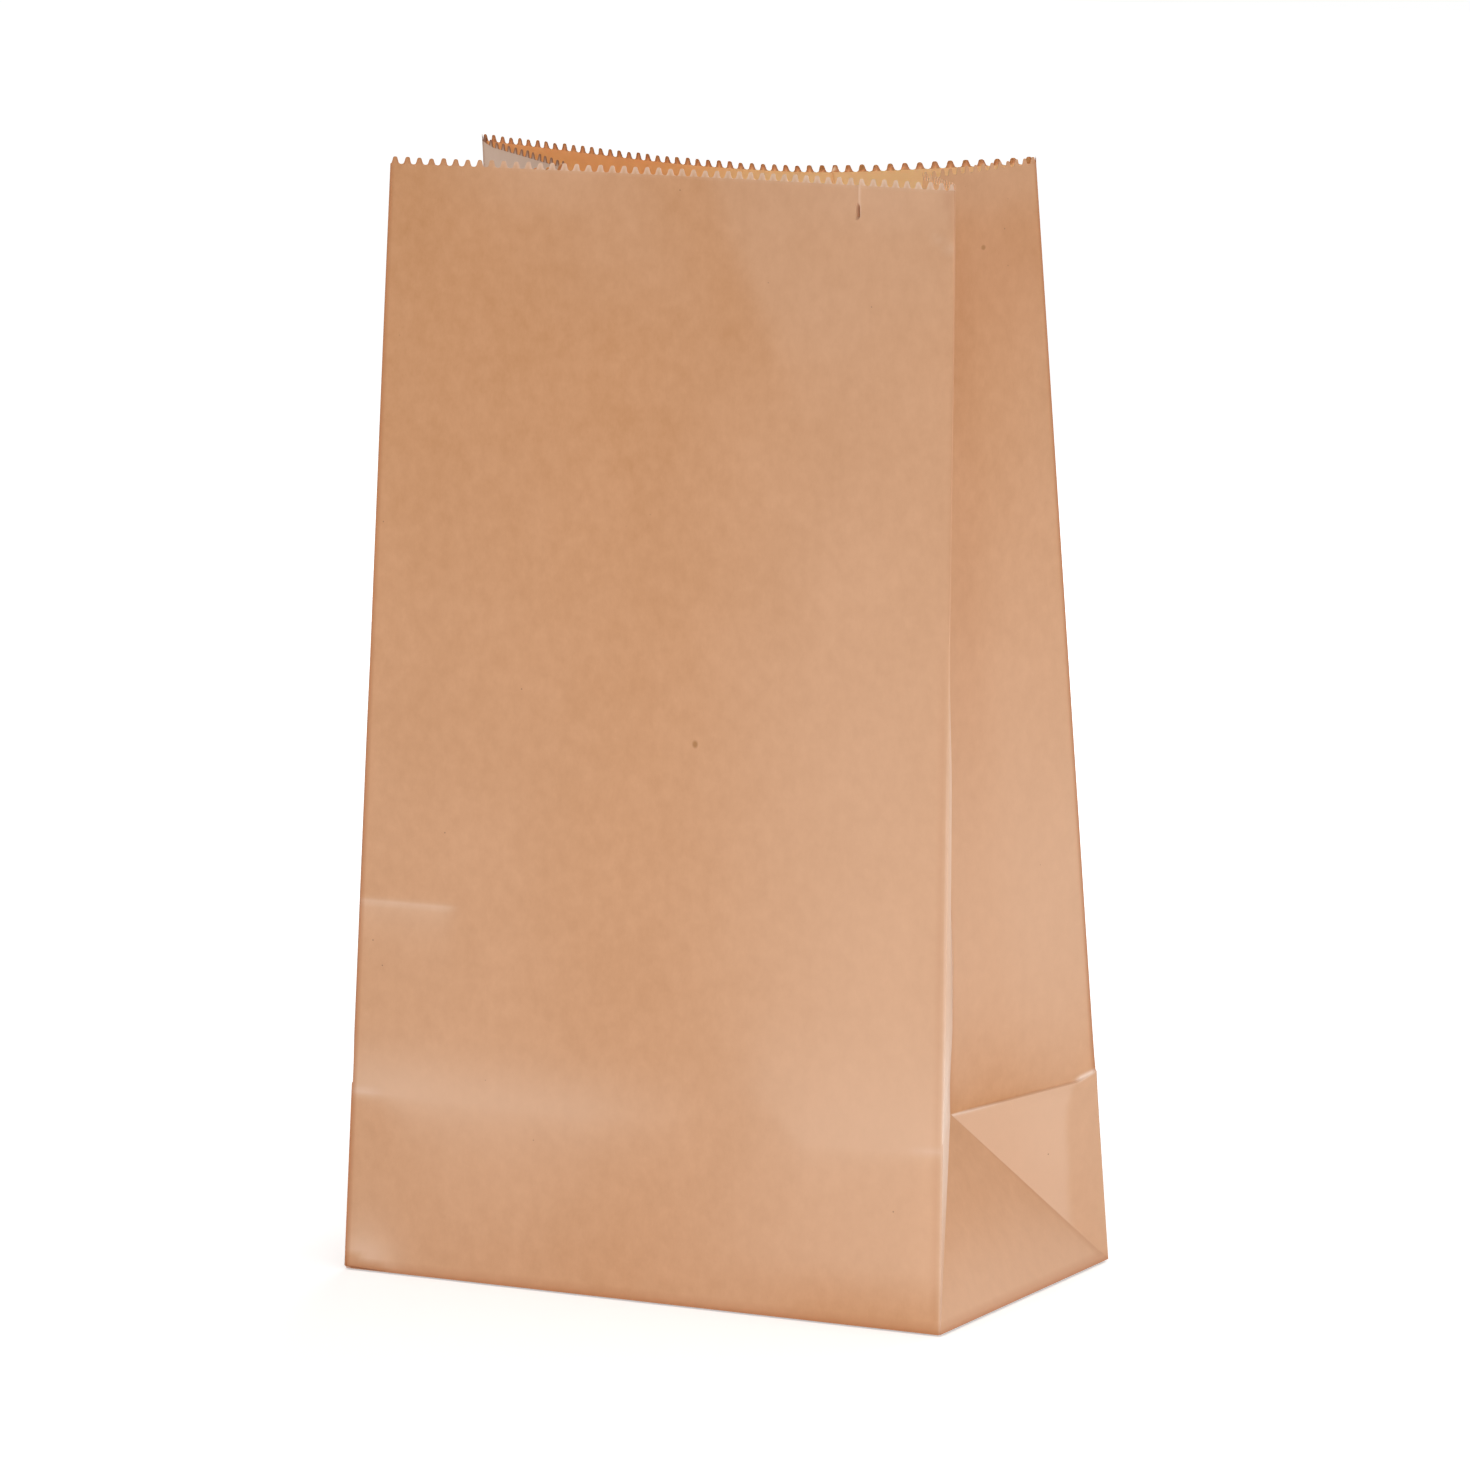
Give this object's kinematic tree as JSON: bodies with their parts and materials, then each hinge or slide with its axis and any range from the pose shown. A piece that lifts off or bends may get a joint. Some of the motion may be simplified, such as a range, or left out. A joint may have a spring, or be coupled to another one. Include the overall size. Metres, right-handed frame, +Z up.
{
  "type": "paper lunch bag",
  "caption": "Open, free-standing brown kraft paper lunch bag with folded gusset sides, a flat block bottom and a saw-tooth cut mouth.",
  "frame": {"origin": "middle of the underside of the base", "axes": "+Z up through the mouth, -Y out of the wide front panel, +X out of the gusset on the right as seen from the front"},
  "size_m": [0.1578, 0.085, 0.25],
  "materials": {
    "kraft_paper": "matte, uncoated"
  },
  "bodies": {
    "root": {"paper_bag": "kraft_paper"}
  },
  "joints": []
}
